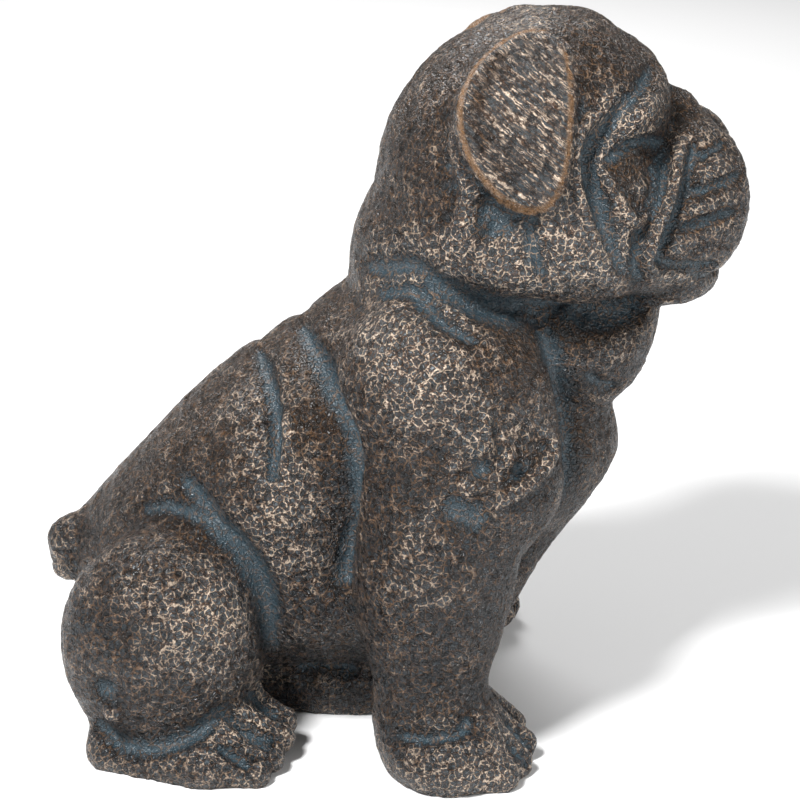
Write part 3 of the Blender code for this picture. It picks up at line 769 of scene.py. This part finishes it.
@dataclass
class Figure:
    """The whole dog: melts its parts into one skin, carves the folds and dresses it."""

    parts: dict[str, BodyPart]
    node: str
    voxel: float = 1.45
    draft_voxel: float = 2.2
    rounds: int = 3
    most_triangles: int = 196000
    mm: float = 0.001
    fold_rows: list = field(default_factory=list)
    shift: np.ndarray = field(default_factory=lambda: np.zeros(3))
    dent: float = 9.0
    dent_depth: float = 0.8
    ridge: float = 5.0
    ridge_height: float = 0.8
    ridge_foot: float = 0.4
    groove_calm: float = 0.8
    patina: Patina = Patina()

    def smooth_distance(self, points: np.ndarray) -> np.ndarray:
        """Signed distance to all parts, without folds: -w ln(sum of exp(-d / w)) again."""
        total = sum(np.exp(part.distance(points) / -GROUP_BLEND) for part in self.parts.values())
        return -GROUP_BLEND * np.log(total)

    def slope(self, points: np.ndarray, step: float = 0.3) -> np.ndarray:
        """Slope of the smooth distance at points, by a step along each axis."""
        value, slope = self.smooth_distance(points), np.empty_like(points)
        for axis in range(3):
            moved = points.copy()
            moved[:, axis] += step
            slope[:, axis] = (self.smooth_distance(moved) - value) / step
        return slope

    def pin(self, folds: list[Fold]) -> list:
        """Drops all folds' curves on to the skin along their views' axes.

        Args:
            folds: The folds.

        Returns:
            For each: itself, points along it, the outward direction and its share of the height at each.
        """
        curves = [np.insert(f.curve(), f.side.value, 150.0 if f.side.value else 230.0, axis=1) for f in folds]
        counts = [len(curve) for curve in curves]
        axis = np.repeat([fold.side.value for fold in folds], counts)
        points = np.vstack(curves)
        row = np.arange(len(points))
        for _ in range(40):
            points[row, axis] -= np.clip(0.8 * self.smooth_distance(points), -1, 20)
        outward = self.slope(points)
        outward /= np.maximum(np.linalg.norm(outward, axis=1), 0.1)[:, None]
        ends = np.cumsum(counts)[:-1]
        rows = zip(folds, np.split(points, ends), np.split(outward, ends))
        return [(fold, centres, normals, fold.shares(len(centres))) for fold, centres, normals in rows]

    def relief(self, points: np.ndarray, sense: Sense | None = None, spread_by: float = 1.0) -> np.ndarray:
        """How far folds stand out: height times exp(-(d / w)^2), or ^1.3 in a groove, at d from its curve.

        Args:
            points: Places in design millimetres.
            sense: Only folds of this sense count, or all.
            spread_by: Widths are taken times this.

        Returns:
            Millimetres, below zero in grooves.
        """
        raised = np.zeros(len(points))
        side = to_left(points)
        for fold, centres, outward, shares in self.fold_rows:
            if sense and fold.sense is not sense:
                continue
            width = fold.width * spread_by
            near = inside(side, centres.min(axis=0) - 3 * width, centres.max(axis=0) + 3 * width)
            middle = centres.mean(axis=0)
            gap, share = nearest_on_curve(side[near] - middle, centres - middle, outward, shares)
            power = 0.65 if fold.sense is GROOVE else 1
            raised[near] += fold.sense.value * fold.height * share * np.exp(-((gap / width**2) ** power))
        return raised

    def melt(self) -> bpy.types.Object:
        """All parts' skins melted into one by a voxel remesh, at the object's own size in millimetres."""
        points, faces, start = [], [], 0
        for part in self.parts.values():
            for shell, shell_faces in part.build():
                points.append(shell)
                faces += [[start + number for number in face] for face in shell_faces]
                start += len(shell)
        mesh = bpy.data.meshes.new("dog_figure")
        mesh.from_pydata(np.vstack(points), [], faces)
        piece = linked("dog_figure", mesh)
        remesh = piece.modifiers.new("melt", "REMESH")
        remesh.mode = "VOXEL"
        remesh.voxel_size = self.voxel
        bake(piece)
        return piece

    def settle(self, points: np.ndarray, edges: np.ndarray) -> np.ndarray:
        """Slides the skin's points evenly over the carved surface: each round averages and steps back."""
        for turn in range(self.rounds + 1):
            if turn < self.rounds:
                points = spread(points, edges, 1)
            skin = in_parts(self.smooth_distance, points)
            slope = in_parts(self.slope, points)
            value = np.maximum(skin - in_parts(self.relief, points), -points[:, 2])
            size = np.maximum((slope**2).sum(axis=1), 0.25)[:, None]
            points = points - np.clip(value[:, None] * slope / size, -4, 4)
        return points * (1, 1, 0) + np.maximum(points[:, 2:], 0) * (0, 0, 1)

    def place(self, points: np.ndarray) -> np.ndarray:
        """Design millimetres to the frame's metres, centred on the CAD body and kept inside its box."""
        low, high = (np.array(corner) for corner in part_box(self.node))
        least, most = points.min(axis=0), points.max(axis=0)
        fit = np.minimum(self.mm, (high - low) / (most - least))
        self.shift = (low + high) / 2 * (1, 1, 0) - (least + most) / 2 * (1, 1, 0) * fit
        return np.clip(points * fit + self.shift, low, high)

    def build(self) -> bpy.types.Object:
        """Makes the figure's mesh and its paint attributes.

        Returns:
            The finished object, without a material.
        """
        self.fold_rows = self.pin([fold for part in self.parts.values() for fold in part.folds])
        piece = self.melt()
        mesh = piece.data
        points = rows_of(mesh.vertices, "co", 3, np.float32).astype(float)
        edges = rows_of(mesh.edges, "vertices", 2, np.int32)
        points = self.hammer(mesh, self.settle(points, edges))
        set_points(mesh, self.place(points))
        self.dress(mesh, points, edges)
        self.thin(piece)
        piece.data.shade_smooth()
        return piece

    def hammer(self, mesh: bpy.types.Mesh, points: np.ndarray) -> np.ndarray:
        """Presses shallow dents and worm-like ridges into the skin, less so in the grooves.

        Args:
            mesh: The figure's mesh.
            points: Its points, in design millimetres.

        Returns:
            The moved points.
        """
        set_points(mesh, points)
        outward = rows_of(mesh.vertices, "normal", 3, np.float32)
        dents = lattice_noise(points, self.dent) - 0.5
        ridges = 1 - np.abs(2 * lattice_noise(points, self.ridge) - 1)
        calm = 1 - self.groove_calm * np.clip(-self.relief(points, GROOVE) / GROOVE_DEPTH, 0, 1)
        amount = calm * (self.dent_depth * dents + self.ridge_height * (ridges**2 - self.ridge_foot))
        return points + amount[:, None] * outward

    def thin(self, piece: bpy.types.Object) -> None:
        """Joins faces where the skin is smooth, to most_triangles, and keeps them in the CAD box."""
        triangles = 2 * len(piece.data.polygons)
        if triangles <= self.most_triangles:
            return
        thinner = piece.modifiers.new("thin", "DECIMATE")
        thinner.ratio = self.most_triangles / triangles
        bake(piece)
        low, high = (np.array(corner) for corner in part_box(self.node))
        set_points(piece.data, np.clip(rows_of(piece.data.vertices, "co", 3, np.float32), low, high))

    def dress(self, mesh: bpy.types.Mesh, points: np.ndarray, edges: np.ndarray) -> None:
        """Writes where paint is rubbed and highlight painted, blue, brown or combed, as attributes of the
        points.

        Args:
            mesh: The skin.
            points: Its points in design millimetres.
            edges: Its edges.
        """
        normals = rows_of(mesh.vertices, "normal", 3, np.float32)
        p, rounds = self.patina, (self.patina.skin_step / self.voxel) ** 2
        near, wide = (spread(points, edges, round(count * rounds)) for count in (p.near, p.wide))
        bulge = ((points - near) * normals).sum(axis=1)
        swell = ((points - wide) * normals).sum(axis=1)
        # rubbed places: dry-brushed wear, and painted highlight on the masses
        rub_and_highlight = sum(part.dress(points) for part in self.parts.values())
        groove = np.clip(-self.relief(points, GROOVE, p.groove_width) / GROOVE_DEPTH, 0, 1)
        ridge = np.clip(self.relief(points, RIDGE) / p.ridge_height, 0, 1)
        dip, sag = np.clip(-bulge / p.dip_depth, 0, 1), np.clip(-swell / p.sag_depth, 0, 1)
        sunk = dip * p.dip_share + sag * p.sag_share
        hollow = np.clip(p.groove_share * groove + sunk - p.ridge_share * ridge, 0, 1)
        hollow = spread(hollow, edges, 2)
        edge = np.clip(bulge / p.edge_height, 0, 1)
        flap, mirrored = self.parts["Ears"].forms[0], to_left(points)
        on_ear = (flap.distance(mirrored) < p.ear_reach) & (flap.outline(mirrored) < 0)
        rim = on_ear * np.exp(-(((flap.outline(mirrored) + p.rim_inset) / p.rim_width) ** 2))
        # wear: crests and edges rubbed through, plus the painted highlight of the rubbed places
        wear_and_highlight = rub_and_highlight + p.edge_wear * ridge + p.edge_wear * edge
        wear_and_highlight = wear_and_highlight + p.swell_wear * np.clip(swell / p.swell_height, 0, 1) - p.hollow_cover * hollow
        upward = np.clip(0.5 + p.up_gain * (normals[:, 2] - p.up_middle), 0, 1)
        back = upward * np.clip((points[:, 2] - p.warm_from) / p.warm_over, 0, 1)
        warm, combed = spread(back, edges, 4), spread(on_ear.astype(float), edges, 2)
        values = {"wear_and_highlight": np.clip(wear_and_highlight, 0, 1), "hollow": hollow, "warm": warm, "combed": combed, "rim": rim}
        for name, row in values.items():
            layer = mesh.attributes.new(name, "FLOAT", "POINT")
            layer.data.foreach_set("value", row.astype(np.float32))


def linear(code: str) -> tuple[float, float, float, float]:
    """An sRGB hex colour turned to linear light, with full alpha."""
    shares = [int(code[i : i + 2], 16) / 255 for i in (1, 3, 5)]
    return (*[s / 12.92 if s <= 0.04045 else ((s + 0.055) / 1.055) ** 2.4 for s in shares], 1.0)


def add(tree: bpy.types.NodeTree, kind: str, inputs: dict | None = None, **settings) -> bpy.types.Node:
    """Adds a node.

    Args:
        tree: The node tree.
        kind: The node's type.
        inputs: For each input socket, by name or number, a value or the output socket that feeds it.
        settings: The node's own settings.

    Returns:
        The node.
    """
    node = tree.nodes.new(kind)
    for name, value in settings.items():
        setattr(node, name, value)
    for name, value in (inputs or {}).items():
        if isinstance(value, bpy.types.NodeSocket):
            tree.links.new(value, node.inputs[name])
        else:
            node.inputs[name].default_value = value
    return node


@dataclass(frozen=True)
class Span:
    """From start to stop of a value, a share runs from low to high, eased at both ends or straight."""

    start: float = 0.0
    stop: float = 1.0
    low: float = 0.0
    high: float = 1.0
    ease: str = "SMOOTHSTEP"

    def inputs(self, source: bpy.types.NodeSocket) -> dict:
        """The sockets of a Map Range node that works this out from source."""
        names = ("Value", "From Min", "From Max", "To Min", "To Max")
        return dict(zip(names, (source, self.start, self.stop, self.low, self.high)))


@dataclass(frozen=True)
class RubbedBronzePaint:
    """Satin paint on moulded polyethylene: charcoal and slate coats, dry-brushed copper and cream.

    The eye sees a dark hammered skin whose small crests were rubbed with pale copper, while the
    hollows keep a smooth slate blue. The rubbed places, and the pale dust laid on them, also carry painted
    highlights on the masses. Sizes are in millimetres, and the spans turn patterns to shares.
    """

    name: str = "rubbed bronze paint on moulded polyethylene"
    charcoal: str = "#0c0e10"
    slate: str = "#212e36"
    brown: str = "#231d18"
    rust: str = "#5a3e2a"
    copper: str = "#a3794f"
    cream: str = "#f6dfc8"
    # pale dust, heaviest on the rubbed places, where it also acts as painted highlight
    dust_and_highlight: str = "#626b70"
    blue: str = "#31424b"
    cell: float = 3.9
    fine_cell: float = 1.9
    warp: float = 3.0
    warp_by: float = 2.4
    gap: float = 3.4
    patch: float = 22.0
    comb_length: float = 11.0
    comb_step: float = 0.5
    comb_lean: float = 38.0
    comb_share: float = 0.7
    cell_share: float = 0.62
    fine_cell_share: float = 0.45
    hollow_calm: float = 0.8
    relief: float = 4.5
    grain: float = 0.8
    grain_relief: float = 0.35
    ior: float = 1.5
    crest: Span = Span(0.0, 0.16, 1.0, 0.0)
    fine_crest: Span = Span(0.0, 0.23, 1.0, 0.0)
    comb: Span = Span(0.38, 0.66)
    hold: Span = Span(0.35, 0.6, 0.45, 1.0)
    patches: Span = Span(0.3, 0.7, -0.2, 0.2, "LINEAR")
    coat: Span = Span(0.38, 0.62, ease="LINEAR")
    mottle: Span = Span(0.35, 0.65, 0.25, 1.0, "LINEAR")
    line: Span = Span(0.42, 0.82)
    foot: Span = Span(0.15, 0.5)
    strength: Span = Span(-0.2, 0.9, 0.08, 0.95, "LINEAR")
    deep: Span = Span(0.2, 0.8, 0.0, 0.85)
    dust_and_highlight_span: Span = Span(0.1, 1.0, 0.0, 0.7)
    paling: Span = Span(0.1, 0.6)
    binding: Span = Span(0.5, 1.0, 0.0, 0.7)
    roughness: Span = Span(0.0, 1.0, 0.22, 0.36, "LINEAR")

    def material(self) -> bpy.types.Material:
        """The painted finish as a node material on Object coordinates and the skin's attributes."""
        made = bpy.data.materials.new(self.name)
        made.use_nodes = True
        tree = made.node_tree
        tree.nodes.clear()
        place = add(tree, "ShaderNodeTexCoord").outputs["Object"]
        wear_and_highlight, hollow, warm, combed, rim = (
            add(tree, "ShaderNodeAttribute", attribute_name=name).outputs["Fac"]
            for name in ("wear_and_highlight", "hollow", "warm", "combed", "rim")
        )
        drift, gaps, patches, grain = (
            add(tree, "ShaderNodeTexNoise", {"Vector": place, "Scale": 1000 / size, "Detail": detail})
            for size, detail in ((self.warp, 2.0), (self.gap, 4.0), (self.patch, 3.0), (self.grain, 3.0))
        )
        bend = {0: drift.outputs["Color"], 1: (self.warp_by / 1000,) * 3, 2: place}
        bent = add(tree, "ShaderNodeVectorMath", bend, operation="MULTIPLY_ADD").outputs[0]
        wall = "DISTANCE_TO_EDGE"
        cells, fine_cells = (
            add(tree, "ShaderNodeTexVoronoi", {"Vector": bent, "Scale": 1000 / size}, feature=wall).outputs[0]
            for size in (self.cell, self.fine_cell)
        )
        strokes = {
            "Vector": bent,
            "Rotation": (0, math.radians(self.comb_lean), 0),
            "Scale": (self.comb_length / 1000, self.comb_length / 1000, self.comb_step / 1000),
        }
        turned = add(tree, "ShaderNodeMapping", strokes, vector_type="TEXTURE").outputs[0]
        combing = add(tree, "ShaderNodeTexNoise", {"Vector": turned, "Scale": 1.0, "Detail": 2.0})
        crest, fine_crest, comb, hold, patchy, coat, mottle = (
            add(tree, "ShaderNodeMapRange", span.inputs(source), interpolation_type=span.ease).outputs[0]
            for span, source in (
                (self.crest, cells), (self.fine_crest, fine_cells), (self.comb, combing.outputs["Fac"]),
                (self.hold, gaps.outputs["Fac"]), (self.patches, patches.outputs["Fac"]),
                (self.coat, gaps.outputs["Fac"]), (self.mottle, gaps.outputs["Fac"]),
            )
        )
        fine, combs = (
            add(tree, "ShaderNodeMath", {0: value, 1: share}, operation="MULTIPLY").outputs[0]
            for value, share in ((fine_crest, self.fine_cell_share), (combed, self.comb_share))
        )
        cell_net, sunk = (
            add(tree, "ShaderNodeMath", {0: value, 1: share, 2: more}, operation="MULTIPLY_ADD").outputs[0]
            for value, share, more in ((crest, self.cell_share, fine), (hollow, -self.hollow_calm, 1.0))
        )
        net = add(tree, "ShaderNodeMix", {0: combs, 2: cell_net, 3: comb}, data_type="FLOAT").outputs[0]
        net = add(tree, "ShaderNodeMath", {0: net, 1: hold}, operation="MULTIPLY").outputs[0]
        # rubbed share: dry-brushed wear plus the painted highlight of the rubbed places
        rub_and_highlight = add(tree, "ShaderNodeMath", {0: wear_and_highlight, 1: patchy}, operation="ADD").outputs[0]
        warmth = {0: patchy, 1: warm}
        warmth = add(tree, "ShaderNodeMath", warmth, operation="ADD", use_clamp=True).outputs[0]
        line, foot, strength, deep, dust_and_highlight_share, pale, bound, rough = (
            add(tree, "ShaderNodeMapRange", span.inputs(source), interpolation_type=span.ease).outputs[0]
            for span, source in (
                (self.line, net), (self.foot, net), (self.strength, rub_and_highlight), (self.deep, hollow),
                (self.dust_and_highlight_span, rub_and_highlight), (self.paling, rub_and_highlight), (self.binding, rim), (self.roughness, coat),
            )
        )
        # strokes and the pale dust follow the rubbed share, so they lay painted highlight as well as
        # dry-brushed paint
        stroke, around, dust_and_highlight_share, height = (
            add(tree, "ShaderNodeMath", {0: value, 1: other}, operation="MULTIPLY").outputs[0]
            for value, other in ((line, strength), (strength, sunk), (dust_and_highlight_share, mottle), (net, sunk))
        )
        halo = add(tree, "ShaderNodeMath", {0: foot, 1: around}, operation="MULTIPLY").outputs[0]
        rubbing = {0: pale, 6: linear(self.copper), 7: linear(self.cream)}
        rubbing = add(tree, "ShaderNodeMix", rubbing, data_type="RGBA").outputs[2]
        colour = linear(self.charcoal)
        for share, over in (
            (coat, linear(self.slate)), (warmth, linear(self.brown)), (deep, linear(self.blue)),
            (dust_and_highlight_share, linear(self.dust_and_highlight)), (halo, linear(self.rust)), (stroke, rubbing),
            (bound, linear(self.copper)),
        ):
            layer = {0: share, 6: colour, 7: over}
            colour = add(tree, "ShaderNodeMix", layer, data_type="RGBA").outputs[2]
        hammer = {"Height": height, "Distance": self.relief / 1000, "Strength": 1.0}
        hammered = add(tree, "ShaderNodeBump", hammer).outputs[0]
        pores = {"Height": grain.outputs["Fac"], "Distance": self.grain_relief / 1000, "Normal": hammered}
        skin = add(tree, "ShaderNodeBump", pores).outputs[0]
        finish = {"Base Color": colour, "Roughness": rough, "Normal": skin, "IOR": self.ior}
        shader = add(tree, "ShaderNodeBsdfPrincipled", finish)
        add(tree, "ShaderNodeOutputMaterial", {"Surface": shader.outputs[0]})
        return made


@dataclass(frozen=True)
class Paper:
    """Matt seamless backdrop paper: even and pale, with no gloss."""

    name: str = "matt backdrop paper"
    colour: str = "#f4f4f4"
    roughness: float = 0.9

    def material(self) -> bpy.types.Material:
        """The paper as a material."""
        made = bpy.data.materials.new(self.name)
        made.use_nodes = True
        shader = made.node_tree.nodes["Principled BSDF"]
        shader.inputs["Base Color"].default_value = linear(self.colour)
        shader.inputs["Roughness"].default_value = self.roughness
        return made


@dataclass
class Studio:
    """A pale floor, soft lights and the camera."""

    distance: float = 1.25
    half_view: float = 0.2252
    sensor: float = 36.0
    aim_height: float = 0.178
    floor_size: float = 16.0
    floor_gap: float = 0.0002
    light_aim: float = 0.2
    sky_strength: float = 0.2

    def floor(self) -> bpy.types.Object:
        """A flat floor on a two-by-two grid of points."""
        half = self.floor_size / 2
        across, along = np.meshgrid([-half, half], [-half, half])
        points = np.stack([across.ravel(), along.ravel(), np.full(4, -self.floor_gap)], axis=1)
        mesh = bpy.data.meshes.new("floor")
        mesh.from_pydata(points, [], [[0, 1, 3, 2]])
        mesh.materials.append(Paper().material())
        piece = linked("floor", mesh)
        return piece

    def light(self, name: str, place: Point, watts: float, size: float) -> None:
        """A square soft light that faces the figure's middle."""
        data = bpy.data.lights.new(name, "AREA")
        data.energy = watts
        data.size = size
        lamp = linked(name, data)
        lamp.location = place
        towards = Vector((0, 0, self.light_aim)) - Vector(place)
        lamp.rotation_euler = towards.to_track_quat("-Z", "Y").to_euler()

    def sky(self) -> None:
        """Even white light from all round, shown with plain sRGB colours."""
        bpy.context.scene.view_settings.view_transform = "Standard"
        world = bpy.data.worlds.new("white room")
        world.use_nodes = True
        inputs = world.node_tree.nodes["Background"].inputs
        inputs["Color"].default_value = (1, 1, 1, 1)
        inputs["Strength"].default_value = self.sky_strength
        bpy.context.scene.world = world

    def camera(self, aim_forward: float) -> None:
        """The camera, square to the figure's side and looking down by LOOK_DOWN.

        Args:
            aim_forward: Where along X it aims, in metres.
        """
        data = bpy.data.cameras.new("camera")
        data.sensor_width = self.sensor
        data.lens = self.sensor / 2 * self.distance / self.half_view
        camera = linked("camera", data)
        reach, rise = self.distance * math.cos(LOOK_DOWN), self.distance * math.sin(LOOK_DOWN)
        camera.location = (aim_forward, -reach, self.aim_height + rise)
        camera.rotation_euler = (math.pi / 2 - LOOK_DOWN, 0, 0)
        bpy.context.scene.camera = camera


def main() -> None:
    """Builds the studio and the figure."""
    logging.basicConfig(level=logging.INFO, format="%(message)s")
    studio = Studio()
    studio.floor()
    studio.sky()
    studio.light("key", (-0.7, -1.0, 1.75), 66, 0.4)
    studio.light("fill", (1.5, -0.7, 0.9), 15, 1.2)
    studio.light("rim", (-0.5, 2.2, 2.0), 50, 1.2)
    kinds = Trunk, Neck, Forelegs, Haunches, Head, Muzzle, Ears, Tail, FrontToes, HindToes
    figure = Figure({kind.__name__: kind() for kind in kinds}, NODE)
    piece = figure.build()
    studio.camera(float(figure.shift[0]))
    piece.data.materials.append(RubbedBronzePaint().material())
    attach(piece, "root")
    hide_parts(NODE)
    log.info("figure: %d faces, %d folds", len(piece.data.polygons), len(figure.fold_rows))


if __name__ == "__main__":
    main()
